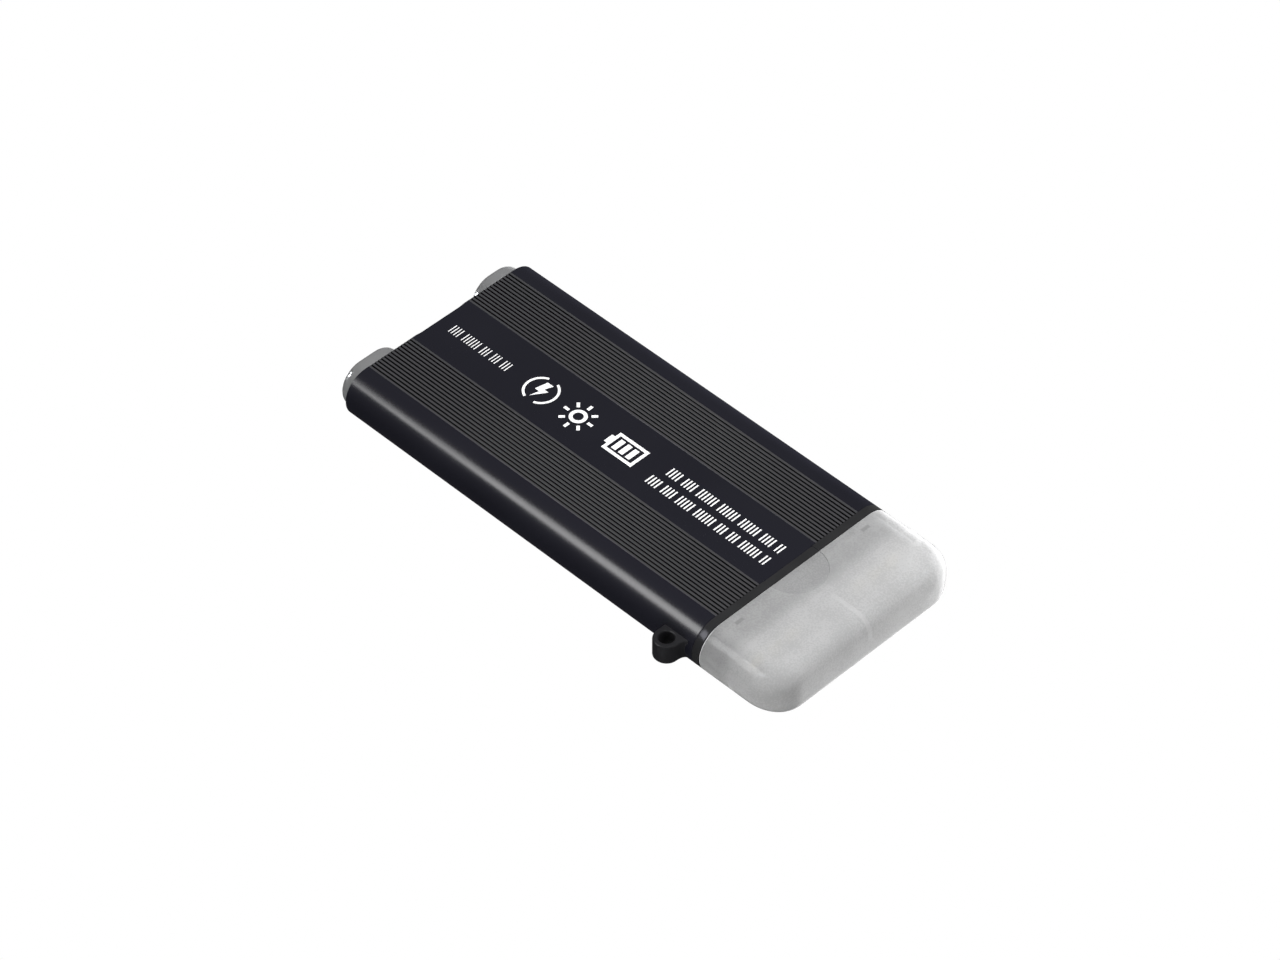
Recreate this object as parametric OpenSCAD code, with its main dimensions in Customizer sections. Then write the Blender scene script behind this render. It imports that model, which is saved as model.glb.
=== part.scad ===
// Slim rechargeable pocket light: an extruded aluminium sleeve round a lithium pouch cell, with two
// torch lenses at one end and a frosted lantern cap over a USB socket at the other.
// Millimetres. +X runs from the lens end to the cap end, +Y across the width, +Z up out of the
// marked face. The origin is on the underside, below the middle of the sleeve.

/* [Body] */
// Width of the body, side to side
body_w = 40; // [38.5:0.5:46]
// Thickness of the body
body_t = 8.7; // [8.7:0.1:10]
// Length of the aluminium sleeve
sleeve_l = 74; // [74:1:90]
// Wall of the sleeve
sleeve_wall = 0.8; // [0.7:0.05:0.8]

/* [Ribs] */
// Number of ribs in each band
rib_count = 14; // [6:1:14]
// Distance from one rib to the next
rib_pitch = 0.668; // [0.6:0.004:0.68]
// Width of one rib
rib_w = 0.4; // [0.34:0.02:0.5]
// Depth of the grooves between the ribs
rib_h = 0.18; // [0.12:0.02:0.3]
// Rounding of a rib's edges
rib_edge_r = 0.06; // [0.04:0.02:0.12]
// Distance from the centre line to the first rib
rib_start = 6.13; // [6:0.01:6.2]

/* [Centre band] */
// Width of the shallow recess along the marked face
recess_w = 10.3; // [8:0.1:11]
// Depth of that recess, and of the half-round thumb recess on the cap
recess_d = 0.15; // [0.1:0.05:0.25]

/* [Collar and spigot] */
// Visible length of the collar
collar_l = 1.4; // [1:0.1:2]
// Length of the collar's plug inside the sleeve
plug_l = 5.8; // [5.4:0.1:5.9]
// Length of the spigot that the cap pushes onto
spigot_l = 6.2; // [6.2:0.1:7]
// Wall of the plug and the spigot
spigot_wall = 0.8; // [0.6:0.05:0.8]

/* [Cap] */
// Length of the cap
cap_l = 15.3; // [14:0.1:20]
// Wall of the cap
cap_wall = 1.25; // [1.1:0.05:1.25]
// Radius of the cap's corners, seen from above
cap_corner_r = 6; // [5:0.5:8]
// Radius of the cap's end edges
cap_edge_r = 3; // [2.5:0.1:3.5]
// Seam between the collar and the cap
cap_gap = 0.05; // [0.02:0.01:0.1]

/* [Torch lenses] */
// Distance of each lens from the centre line
lens_y = 13.3; // [12.8:0.1:13.3]
// Width of the left lens, on the near side
lens_left_w = 11.4; // [9.8:0.1:11.4]
// Width of the right lens
lens_right_w = 10; // [9.8:0.1:11.4]
// How far a lens stands out of the end
lens_out = 2.75; // [1.5:0.05:3]
// Rounding of the lens's front edge
lens_edge_r = 1.2; // [0.6:0.1:1.4]

/* [Lanyard lug] */
// Radius of the eye
eye_r = 1.2; // [0.9:0.1:1.3]
// Radius of the lug round the eye
lug_r = 2.1; // [2:0.1:2.4]
// Height of the lug
lug_h = 3.55; // [2.5:0.05:4]
// Distance of the eye from the collar end of the sleeve
eye_from_end = 3.8; // [3.6:0.1:4]
// How far the eye's centre stands out from the side of the body
eye_out = 1.3; // [1.2:0.1:1.6]

/* [Pouch cell] */
// Length of the cell's pouch
cell_l = 50; // [40:1:50]
// Width of the cell
cell_w = 34; // [30:1:34]
// Thickness of the cell
cell_t = 4; // [3:0.5:4.5]

/* [Button] */
// Diameter of the power button's face
button_d = 5; // [4:0.5:5]
// How far the button's face lies below the underside
button_recess = 0.2; // [0.1:0.05:0.3]

/* [Hidden] */
$fn = 96;

fit = 0.05;                  // gap between pieces that slide together once, at assembly
overlap = 0.01;              // how far solids that join run into each other
mid_z = body_t / 2;
end_x = -sleeve_l / 2;       // lens end of the sleeve
seam_x = sleeve_l / 2;       // cap end of the sleeve, where the collar starts
collar_x = seam_x + collar_l;
spigot_x = collar_x + spigot_l;
cap_x = collar_x + cap_gap;
cap_end_x = collar_x + cap_l;
plug_x = seam_x - plug_l;
side_c = body_w / 2 - body_t / 2;   // centre of the round side, from the centre line

bore_w = body_w - 2 * sleeve_wall;  // inside of the sleeve
bore_t = body_t - 2 * sleeve_wall;
plug_w = bore_w - 2 * fit;
plug_t = bore_t - 2 * fit;
cap_clear = 0.1;             // gap between the spigot and the cap
spigot_w = body_w - 2 * cap_wall - 2 * cap_clear;
spigot_t = body_t - 2 * cap_wall - 2 * cap_clear;
hollow_w = spigot_w - 2 * spigot_wall;
hollow_t = spigot_t - 2 * spigot_wall;
bump_y = 13.3;               // snap bumps on the spigot, from the centre line
bump_w = 1.9;
bump_from_collar = 1.7;

plate_l = 2.4;               // end plate
lens_h = body_t - 0.3;
lens_plug_w = 9.4;
lens_plug_h = 5.4;
reflector_x = end_x + plate_l + fit;
reflector_l = 3.35;
reflector_w = 10.6;
reflector_h = 6.4;
torch_board_x = reflector_x + reflector_l + fit;
pcb_t = 0.8;

tray_x = torch_board_x + pcb_t + 0.1;
tray_end_x = 24.3;
tray_floor_z = sleeve_wall + fit + 0.6;
tray_rail_z = 5;
cell_x = tray_x + 1.2;
cell_z = tray_floor_z + fit;
cell_end_x = cell_x + cell_l;
terrace_l = 1.2;
guard_x = tray_end_x - 1.1;  // protection board
tab_y = 6;

board_x = 24.6;
board_z = 3;
board_end_x = spigot_x - 1.2;
board_w = 29;
usb_w = 8.94;
usb_t = 3.16;
usb_l = 7.4;
usb_skin = 0.3;
usb_end_x = spigot_x - 0.2;
lantern_x = spigot_x - 1;

button_x = 27.8;
flange_z = sleeve_wall + fit;
flange_t = 0.4;
flange_d = button_d + 1.2;
plunger_z = flange_z + flange_t + 0.25;
switch_z = 1.9;
switch_w = 4.5;
pipe_y = 4.7;
pipe_d = 1.5;
pipe_flange_d = 2;

eye_x = seam_x - eye_from_end;
eye_y = -body_w / 2 - eye_out;
gusset_x = seam_x - 1;       // where the lug's root dies into the side, near the collar
slot_x = eye_x - lug_r + 0.2;
slot_end_x = gusset_x - 0.4;

// A slot shape lying along Y, w wide and h high, round at both ends.
module stadium(w, h) {
    square([w - h, h], center = true);
    for (side = [-1, 1])
        translate([side * (w - h) / 2, 0]) circle(h / 2);
}

// A rectangle w by h with corners of radius r.
module rounded(w, h, r) {
    square([w - 2 * r, h], center = true);
    square([w, h - 2 * r], center = true);
    for (a = [-1, 1], b = [-1, 1])
        translate([a * (w / 2 - r), b * (h / 2 - r)]) circle(r, $fn = 48);
}

// Stretches a Y-Z section, drawn round the body's middle, from x0 to x1.
module along_x(x0, x1) {
    translate([x0, 0, mid_z]) rotate([90, 0, 90]) linear_extrude(x1 - x0) children();
}

// A box from its lowest corner to its highest.
module box(low, high) {
    translate(low) cube(high - low);
}

// A straight round wire between two points that differ along one axis only.
module strand(a, b, r) {
    turn = a.x != b.x ? [0, 90, 0] : [0, 0, 0];
    translate((a + b) / 2) rotate(turn)
        cylinder(r = r, h = norm(b - a), center = true, $fn = 24);
}

// The grooves of one rib band as a section, with the rounding of the ribs' edges.
// The band lies along the upper face and starts rib_start from the centre line.
module rib_band() {
    for (i = [0 : rib_count - 2])
        translate([rib_start + i * rib_pitch + rib_w / 2, mid_z - rib_h])
            square([rib_pitch - rib_w, rib_h + 1]);
    for (i = [0 : rib_count - 1], hand = [0, 1])
        translate([rib_start + i * rib_pitch, mid_z]) mirror([hand, 0]) rib_edge();
}

// What one rib's rounded edge leaves out of a square corner, on the rib's +Y side.
module rib_edge() {
    difference() {
        translate([rib_w / 2 - rib_edge_r, -rib_edge_r]) square(rib_edge_r + overlap);
        translate([rib_w / 2 - rib_edge_r, -rib_edge_r]) circle(rib_edge_r, $fn = 24);
    }
}

module sleeve_section() {
    difference() {
        stadium(body_w, body_t);
        stadium(bore_w, bore_t);
        for (side = [0, 1], face = [0, 1])
            mirror([side, 0]) mirror([0, face]) rib_band();
        translate([-recess_w / 2, mid_z - recess_d]) square([recess_w, 1]);
    }
}

module sleeve() {
    color([0.13, 0.13, 0.16]) difference() {
        along_x(end_x, seam_x) sleeve_section();
        // slot in the near side for the lanyard lug
        box([slot_x, -body_w / 2 - 1, mid_z - lug_h / 2], [slot_end_x, -side_c, mid_z + lug_h / 2]);
        // holes in the underside for the button and the light pipe
        translate([button_x, 0, -1]) cylinder(d = button_d + 0.2, h = 1 + sleeve_wall + 0.5);
        translate([button_x, pipe_y, -1]) cylinder(d = pipe_d + 0.1, h = 1 + sleeve_wall + 0.5, $fn = 48);
    }
}

module end_plate() {
    color([0.1, 0.1, 0.11]) difference() {
        along_x(end_x, end_x + plate_l) stadium(plug_w, plug_t);
        for (side = [-1, 1])
            translate([0, side * lens_y, 0])
                along_x(end_x - 1, end_x + plate_l + 1)
                    stadium(lens_plug_w + 2 * fit, lens_plug_h + 2 * fit);
    }
}

// One lens: a flange with a rounded front edge, in front of the sleeve's end, and a plug behind it.
module lens(side, w) {
    r = lens_edge_r;
    straight = (w - lens_h) / 2;
    front_x = end_x - lens_out;
    translate([0, side * lens_y, 0]) {
        along_x(end_x, end_x + plate_l - 0.1) stadium(lens_plug_w, lens_plug_h);
        along_x(front_x + r, end_x) stadium(w, lens_h);
        along_x(front_x, front_x + r + overlap) stadium(w - 2 * r, lens_h - 2 * r);
        // rounded front edge: two straight runs and two half rings
        for (face = [-1, 1])
            translate([front_x + r, 0, mid_z + face * (lens_h / 2 - r)]) rotate([90, 0, 0])
                cylinder(r = r, h = 2 * straight, center = true, $fn = 48);
        for (hand = [-1, 1])
            translate([front_x + r, hand * straight, mid_z]) rotate([0, 90, 0])
                rotate_extrude() translate([lens_h / 2 - r, 0]) circle(r, $fn = 48);
    }
}

module torch_reflector(side) {
    color([0.85, 0.85, 0.86]) translate([0, side * lens_y, 0]) difference() {
        along_x(reflector_x, reflector_x + reflector_l) stadium(reflector_w, reflector_h);
        translate([reflector_x - overlap, 0, mid_z]) rotate([0, 90, 0])
            cylinder(r1 = 2.9, r2 = 1.8, h = reflector_l + 2 * overlap);
    }
}

module torch_led(side) {
    led_w = 2.4;
    led_t = 0.6;
    color([0.95, 0.93, 0.75]) translate([torch_board_x - led_t, side * lens_y, mid_z]) {
        translate([0, -led_w / 2, -led_w / 2]) cube([led_t, led_w, led_w]);
        rotate([0, -90, 0]) cylinder(r1 = 1, r2 = 0.7, h = 0.4, $fn = 48);
    }
}

module torch_board() {
    torch_board_w = 34.4;
    torch_board_h = 6;
    color([0.05, 0.3, 0.15])
        along_x(torch_board_x, torch_board_x + pcb_t) rounded(torch_board_w, torch_board_h, 1);
}

// Shallow tray: a floor under the cell, with rails that fill the round sides of the sleeve.
module cell_tray() {
    pocket_w = cell_w + 0.4;
    color([0.16, 0.16, 0.17]) difference() {
        along_x(tray_x, tray_end_x) stadium(plug_w, plug_t);
        box([tray_x - 1, -pocket_w / 2, tray_floor_z], [tray_end_x + 1, pocket_w / 2, body_t]);
        box([tray_x - 1, -body_w / 2, tray_rail_z], [tray_end_x + 1, body_w / 2, body_t]);
    }
}

module pouch_cell() {
    edge_r = 1.2;
    terrace_t = 0.4;
    terrace_inset = 1;
    z = cell_z + cell_t / 2;
    color([0.75, 0.76, 0.78]) {
        translate([cell_x, 0, z]) rotate([90, 0, 90])
            linear_extrude(cell_l) rounded(cell_w, cell_t, edge_r);
        // sealed terrace that the tabs come out of
        box([cell_end_x - overlap, terrace_inset - cell_w / 2, z - terrace_t / 2],
            [cell_end_x + terrace_l, cell_w / 2 - terrace_inset, z + terrace_t / 2]);
    }
}

// A welded metal tab from the cell's terrace to the protection board.
module cell_tab(side) {
    tab_w = 3;
    tab_t = 0.15;
    z = cell_z + cell_t / 2;
    box([cell_end_x + terrace_l, side * tab_y - tab_w / 2, z - tab_t / 2],
        [guard_x, side * tab_y + tab_w / 2, z + tab_t / 2]);
}

module protection_board() {
    guard_w = 26;
    chip_w = 2.8;
    chip_l = 0.2;
    chip_y = 2.5;
    color([0.05, 0.35, 0.2]) {
        box([guard_x, -guard_w / 2, cell_z + 0.1], [guard_x + pcb_t, guard_w / 2, cell_z + 3.6]);
        // two small chips on its far face
        for (side = [-1, 1])
            box([guard_x + pcb_t - overlap, side * chip_y - chip_w / 2, cell_z + 0.7],
                [guard_x + pcb_t + chip_l, side * chip_y + chip_w / 2, cell_z + 2.9]);
    }
}

module cell_tape() {
    tape_t = 0.1;
    tape_w = 28;
    tape_lap = 4;
    tape_z = cell_z + cell_t + fit;
    color([0.85, 0.6, 0.1])
        box([cell_end_x - tape_lap, -tape_w / 2, tape_z],
            [guard_x + pcb_t, tape_w / 2, tape_z + tape_t]);
}

module foam_pad() {
    pad_x = cell_x + 5;
    pad_l = 36;
    pad_w = 24;
    pad_z = cell_z + cell_t + fit;
    color([0.25, 0.25, 0.27])
        translate([pad_x + pad_l / 2, 0, pad_z])
            linear_extrude(body_t - sleeve_wall - fit - pad_z) rounded(pad_l, pad_w, 2);
}

module main_board() {
    notch_w = usb_w + 0.3;
    color([0.04, 0.28, 0.14]) difference() {
        translate([board_x, -board_w / 2, board_z]) cube([board_end_x - board_x, board_w, pcb_t]);
        box([usb_end_x - usb_l - 0.2, -notch_w / 2, board_z - 1], [spigot_x, notch_w / 2, board_z + 2]);
    }
}

module usb_shell() {
    color([0.75, 0.75, 0.77]) difference() {
        along_x(usb_end_x - usb_l, usb_end_x) rounded(usb_w, usb_t, 1.4);
        along_x(usb_end_x - usb_l + usb_skin, usb_end_x + 1)
            rounded(usb_w - 2 * usb_skin, usb_t - 2 * usb_skin, 1.1);
    }
}

module usb_tongue() {
    back_x = usb_end_x - usb_l + usb_skin;
    back_l = 1.2;
    tongue_w = 6.7;
    tongue_t = 0.7;
    color([0.12, 0.12, 0.13]) {
        along_x(back_x, back_x + back_l)
            rounded(usb_w - 2 * usb_skin - 2 * fit, usb_t - 2 * usb_skin - 2 * fit, 1);
        along_x(back_x + back_l - overlap, usb_end_x - 1) rounded(tongue_w, tongue_t, 0.3);
    }
}

// A square part with rounded corners that stands on the main board.
module board_part(x, y, w, h, r) {
    translate([x, y, board_z + pcb_t]) linear_extrude(h) rounded(w, w, r);
}

module inductor() {
    inductor_w = 4;
    inductor_h = 2;
    color([0.2, 0.2, 0.21]) board_part(32, -8, inductor_w, inductor_h, 0.8);
}

module charge_chip() {
    chip_w = 4;
    chip_h = 0.85;
    color([0.08, 0.08, 0.09]) board_part(28.5, 2, chip_w, chip_h, 0.2);
}

module board_capacitors() {
    chip_l = 1.6;
    chip_w = 0.8;
    top_z = board_z + pcb_t;
    color([0.72, 0.6, 0.42])
        for (y = [6.5, 8.5, 10.5], x = [31, 34])
            box([x - chip_l / 2, y - chip_w / 2, top_z], [x + chip_l / 2, y + chip_w / 2, top_z + chip_w]);
}

module switch_body() {
    color([0.7, 0.7, 0.72]) difference() {
        box([button_x - switch_w / 2, -switch_w / 2, switch_z],
            [button_x + switch_w / 2, switch_w / 2, board_z]);
        translate([button_x, 0, switch_z - 0.1]) cylinder(d = 2.2, h = 0.8, $fn = 48);
    }
}

module switch_plunger() {
    color([0.15, 0.15, 0.16])
        translate([button_x, 0, plunger_z]) cylinder(d = 2, h = switch_z + 0.3 - plunger_z, $fn = 48);
}

module power_button() {
    color([0.2, 0.2, 0.21]) translate([button_x, 0, 0]) {
        translate([0, 0, button_recess])
            cylinder(d = button_d, h = flange_z + flange_t - button_recess);
        translate([0, 0, flange_z]) cylinder(d = flange_d, h = flange_t);
        translate([0, 0, flange_z + flange_t]) cylinder(d = 2.5, h = 0.25, $fn = 48);
    }
}

module indicator_led() {
    color([0.9, 0.95, 0.9])
        box([button_x - 0.8, pipe_y - 0.4, board_z - 0.6], [button_x + 0.8, pipe_y + 0.4, board_z]);
}

module light_pipe() {
    pipe_top_z = board_z - 0.7;
    color([0.85, 0.88, 0.9]) translate([button_x, pipe_y, 0]) {
        translate([0, 0, fit]) cylinder(d = pipe_d, h = pipe_top_z - fit, $fn = 48);
        translate([0, 0, flange_z]) cylinder(d = pipe_flange_d, h = flange_t, $fn = 48);
    }
}

// A battery lead from the protection board's top edge to the main board.
module battery_wire(side) {
    r = 0.4;
    y = side * 11;
    wire_z = board_z + pcb_t + r;
    strand([guard_x + pcb_t, y, wire_z], [board_x + 3.5, y, wire_z], r);
}

// A lead that runs over the cell from the torch board, bends down and drops to the main board.
module led_wire(side) {
    r = 0.4;
    bend_r = 1;
    y = side * 14;
    high_z = cell_z + cell_t + 0.3 + r;
    drop_x = board_x + 1.6;
    strand([torch_board_x + pcb_t, y, high_z], [drop_x - bend_r, y, high_z], r);
    translate([drop_x - bend_r, y, high_z - bend_r]) rotate([90, 0, 0])
        rotate_extrude(angle = 90, $fn = 48) translate([bend_r, 0]) circle(r, $fn = 24);
    strand([drop_x, y, high_z - bend_r], [drop_x, y, board_z + pcb_t], r);
}

// Collar ring with the plug that holds it in the sleeve and the spigot that holds the cap.
module collar() {
    bump_r = 0.45;
    bump_x = collar_x + bump_from_collar;
    window_h = lug_h + 0.8;
    color([0.2, 0.2, 0.21]) difference() {
        union() {
            along_x(plug_x, seam_x + overlap) stadium(plug_w, plug_t);
            along_x(seam_x, collar_x) stadium(body_w, body_t);
            along_x(collar_x - overlap, spigot_x) stadium(spigot_w, spigot_t);
            // snap bumps on both faces of the spigot
            for (face = [-1, 1], side = [-1, 1])
                translate([bump_x, side * bump_y, mid_z + face * (spigot_t / 2)]) rotate([90, 0, 0])
                    cylinder(r = bump_r, h = bump_w, center = true, $fn = 32);
        }
        along_x(plug_x - 1, spigot_x + 1) stadium(hollow_w, hollow_t);
        // the sleeve's centre recess runs on over the collar
        box([seam_x - overlap, -recess_w / 2, body_t - recess_d],
            [collar_x + overlap, recess_w / 2, body_t + 1]);
        // window in the near side for the lug's foot
        box([plug_x - 1, -body_w / 2, mid_z - window_h / 2], [seam_x - 0.3, -side_c, mid_z + window_h / 2]);
    }
}

module lantern_board() {
    color([0.92, 0.92, 0.9]) difference() {
        along_x(lantern_x, lantern_x + pcb_t) stadium(hollow_w - 2 * fit, hollow_t - 2 * fit);
        along_x(lantern_x - 1, lantern_x + 2) rounded(usb_w + 0.2, usb_t + 0.2, 1.4);
    }
}

module lantern_leds() {
    led_w = 2.2;
    led_h = 1.4;
    led_t = 0.6;
    face_x = lantern_x + pcb_t;
    color([0.96, 0.92, 0.6])
        for (side = [-1, 1], y = [7, 10.5, 14])
            box([face_x, side * y - led_w / 2, mid_z - led_h / 2],
                [face_x + led_t, side * y + led_w / 2, mid_z + led_h / 2]);
}

// Lanyard lug: a ring with a gusset towards the collar, a neck through the sleeve's slot, and a foot
// inside that the neck can't pull out of.
module lanyard_lug() {
    neck_y = -side_c - 2.5;
    root_y = -side_c - 4;
    foot_y = -side_c - 1.6;
    foot_extra = 0.35;
    foot_t = 0.5;
    flare_y = eye_y + 1;
    color([0.1, 0.1, 0.11]) difference() {
        union() {
            translate([0, 0, mid_z - lug_h / 2]) linear_extrude(lug_h) difference() {
                union() {
                    translate([eye_x, eye_y]) circle(lug_r);
                    polygon([
                        [eye_x - lug_r, eye_y], [eye_x - lug_r, root_y],
                        [gusset_x, root_y], [eye_x + lug_r, flare_y], [eye_x + lug_r, eye_y]
                    ]);
                }
                translate([slot_x - 3, root_y + overlap]) square([12, 9]);
            }
            box([slot_x + fit, root_y, mid_z - lug_h / 2 + fit],
                [slot_end_x - fit, neck_y + 1, mid_z + lug_h / 2 - fit]);
            box([slot_x - foot_extra, foot_y - foot_t, mid_z - lug_h / 2 - foot_extra],
                [slot_end_x + foot_extra, foot_y, mid_z + lug_h / 2 + foot_extra]);
        }
        translate([eye_x, eye_y, -1]) cylinder(r = eye_r, h = body_t + 2);
        // nothing of the ring or gusset reaches into the body's round side
        sleeve_cut();
    }
}

// The body's outer shape with the lug's slot left out of it, to trim the lug's root to the sleeve.
module sleeve_cut() {
    difference() {
        along_x(end_x, collar_x) stadium(body_w, body_t);
        box([slot_x + fit / 2, -body_w / 2 - 1, mid_z - lug_h / 2],
            [slot_end_x - fit / 2, -side_c, mid_z + lug_h / 2]);
        along_x(end_x, collar_x) stadium(bore_w - 2 * overlap, bore_t - 2 * overlap);
    }
}

// A closed shell shape of the cap, drawn in from the outer surface by inset: round sides like the
// sleeve's, corners of their own radius, and a softer edge round the end.
module cap_form(x0, inset) {
    half_w = body_w / 2 - inset;
    thick = body_t - 2 * inset;
    corner_r = cap_corner_r - inset;
    edge_r = cap_edge_r - inset;
    x1 = cap_end_x - inset;
    intersection() {
        along_x(x0, x1 + 1) stadium(2 * half_w, thick);
        union() {
            box([x0, -half_w, inset], [x1 - corner_r, half_w, body_t - inset]);
            // end, between the corners
            translate([0, half_w - corner_r, 0]) rotate([90, 0, 0])
                linear_extrude(2 * (half_w - corner_r)) end_profile(x1, thick, edge_r, x1 - corner_r - 0.5);
            for (side = [-1, 1])
                translate([x1 - corner_r, side * (half_w - corner_r), 0])
                    rotate_extrude() end_profile(corner_r, thick, edge_r, 0);
        }
    }
}

// Half of a slab's X-Z outline, from x = back out to x = tip, with rounded outer edges.
module end_profile(tip, thick, edge_r, back) {
    translate([back, mid_z - thick / 2]) square([tip - edge_r - back, thick]);
    translate([back, mid_z - thick / 2 + edge_r]) square([tip - back, thick - 2 * edge_r]);
    for (face = [-1, 1])
        translate([tip - edge_r, mid_z + face * (thick / 2 - edge_r)]) circle(edge_r, $fn = 64);
}

module frosted_cap() {
    rib_d = 0.4;
    rib_t = 0.6;
    rib_x = spigot_x + 0.6;
    channel_l = bump_from_collar + 1.8;
    channel_w = bump_w + 0.4;
    channel_d = 0.5;
    color([0.85, 0.85, 0.86]) {
        difference() {
            cap_form(cap_x, 0);
            cap_form(cap_x - 1, cap_wall);
            // half-round thumb recess, next to the collar
            translate([collar_x, 0, body_t - recess_d]) cylinder(d = recess_w, h = 1);
            // reliefs that let the spigot's snap bumps in
            for (face = [-1, 1], side = [-1, 1])
                translate([cap_x - 1, side * bump_y - channel_w / 2,
                           mid_z + face * (body_t / 2 - cap_wall) - channel_d])
                    cube([channel_l, channel_w, 2 * channel_d]);
        }
        // thin centre rib round the inside of the hollow
        difference() {
            intersection() {
                cap_form(rib_x, cap_wall - 2 * overlap);
                box([rib_x, -rib_t / 2, 0], [cap_end_x, rib_t / 2, body_t]);
            }
            cap_form(spigot_x - 1, cap_wall + rib_d);
        }
    }
}

sleeve();
end_plate();
color([0.5, 0.5, 0.52]) lens(-1, lens_left_w);  // lens_left
color([0.5, 0.5, 0.52]) lens(1, lens_right_w);  // lens_right
torch_reflector(-1);  // torch_reflector_left
torch_reflector(1);  // torch_reflector_right
torch_led(-1);  // torch_led_left
torch_led(1);  // torch_led_right
torch_board();
cell_tray();
pouch_cell();
color([0.8, 0.8, 0.82]) cell_tab(1);  // cell_tab_positive
color([0.7, 0.65, 0.6]) cell_tab(-1);  // cell_tab_negative
protection_board();
cell_tape();
foam_pad();
main_board();
usb_shell();
usb_tongue();
inductor();
charge_chip();
board_capacitors();
switch_body();
switch_plunger();
power_button();
indicator_led();
light_pipe();
color([0.7, 0.08, 0.06]) battery_wire(1);  // wire_positive
color([0.07, 0.07, 0.08]) battery_wire(-1);  // wire_negative
color([0.85, 0.85, 0.8]) led_wire(-1);  // led_wire_left
color([0.85, 0.85, 0.8]) led_wire(1);  // led_wire_right
collar();
lantern_board();
lantern_leds();
lanyard_lug();
frosted_cap();
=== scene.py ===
"""Looks of the slim pocket light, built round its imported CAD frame.

Lengths are in metres, and MM turns a size in millimetres into metres. A section is an outline of (y, z)
points round the body's middle, anticlockwise seen from +X, and it is stretched along X, the long axis.
"""
import math
import random

import bmesh
import bpy
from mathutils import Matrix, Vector


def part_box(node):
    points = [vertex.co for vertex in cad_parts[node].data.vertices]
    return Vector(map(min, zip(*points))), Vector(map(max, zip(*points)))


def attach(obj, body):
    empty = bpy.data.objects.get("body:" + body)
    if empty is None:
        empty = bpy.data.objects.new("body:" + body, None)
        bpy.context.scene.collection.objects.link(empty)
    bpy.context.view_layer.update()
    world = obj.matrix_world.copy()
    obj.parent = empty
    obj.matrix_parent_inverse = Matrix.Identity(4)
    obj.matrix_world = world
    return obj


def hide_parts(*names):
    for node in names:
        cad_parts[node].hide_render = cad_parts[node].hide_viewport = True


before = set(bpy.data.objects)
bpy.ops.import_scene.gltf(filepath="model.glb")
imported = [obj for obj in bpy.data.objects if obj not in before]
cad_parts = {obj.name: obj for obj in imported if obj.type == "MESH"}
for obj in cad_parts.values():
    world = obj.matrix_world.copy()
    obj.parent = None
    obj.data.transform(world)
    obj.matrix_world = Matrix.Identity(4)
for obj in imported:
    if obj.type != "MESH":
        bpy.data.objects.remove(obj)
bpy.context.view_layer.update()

# ---------------------------------------------------------------- sizes, from the frame
MM = 0.001
SLEEVE_LO, SLEEVE_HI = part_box("sleeve")
COLLAR_LO, COLLAR_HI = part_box("collar")
CAP_LO, CAP_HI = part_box("frosted_cap")
LENS_LO, LENS_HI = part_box("lens_right")
LUG_LO, LUG_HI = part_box("lanyard_lug")
BUTTON_LO, BUTTON_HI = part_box("power_button")
PIPE_LO, PIPE_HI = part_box("light_pipe")
PLATE_LO, PLATE_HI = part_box("end_plate")

END_X, SEAM_X = SLEEVE_LO.x, SLEEVE_HI.x
HALF_W, THICK = SLEEVE_HI.y, SLEEVE_HI.z
MID_Z = THICK / 2
SIDE_C = HALF_W - MID_Z
PLUG_X, SPIGOT_X = COLLAR_LO.x, COLLAR_HI.x
CAP_X, CAP_END_X = CAP_LO.x, CAP_HI.x
COLLAR_X = CAP_X - 0.05 * MM

SLEEVE_WALL = 0.8 * MM
FIT = 0.05 * MM
RECESS_HALF = 5.15 * MM
RECESS_D = 0.15 * MM
NOTCH = 0.02 * MM
END_EASE = 0.07 * MM
RIB_COUNT = 14
RIB_PITCH = 0.668 * MM
RIB_HALF = 0.2 * MM
RIB_EDGE_R = 0.06 * MM
RIB_DEPTH = 0.18 * MM
RIB_START = 6.13 * MM
RIB_END = RIB_START + (RIB_COUNT - 1) * RIB_PITCH
CAP_WALL = 1.25 * MM
CAP_CORNER_R = 6 * MM
CAP_EDGE_R = 3 * MM
CAP_GAP = 0.1 * MM
SPIGOT_WALL = 0.8 * MM
BUMP_FROM_COLLAR = 1.7 * MM
BUMP_X = COLLAR_X + BUMP_FROM_COLLAR
BUMP_Y = 13.3 * MM
LENS_PLUG_HALF_W = 4.7 * MM
LENS_PLUG_HALF_H = 2.7 * MM
LUG_HALF_H = 1.775 * MM
LUG_FOOT_HALF_H = LUG_HALF_H + 0.35 * MM
LUG_FOOT_REACH = 0.4 * MM
BUTTON_HOLE_R = 2.6 * MM
PIPE_HOLE_R = 0.8 * MM
GRAIN_DEPTH = 0.05 * MM
CAMERA_TARGET = Vector((9.55 * MM, -3.09 * MM, THICK))
CAMERA_DISTANCE = 726.3 * MM
CAMERA_LENS_MM = 137.4
CAMERA_SENSOR_MM = 36
LIGHTS_AIM = Vector((8 * MM, 0, MID_Z))
FLOOR_HALF = 3.0
FLOOR_Z = -1.5 * MM


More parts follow.
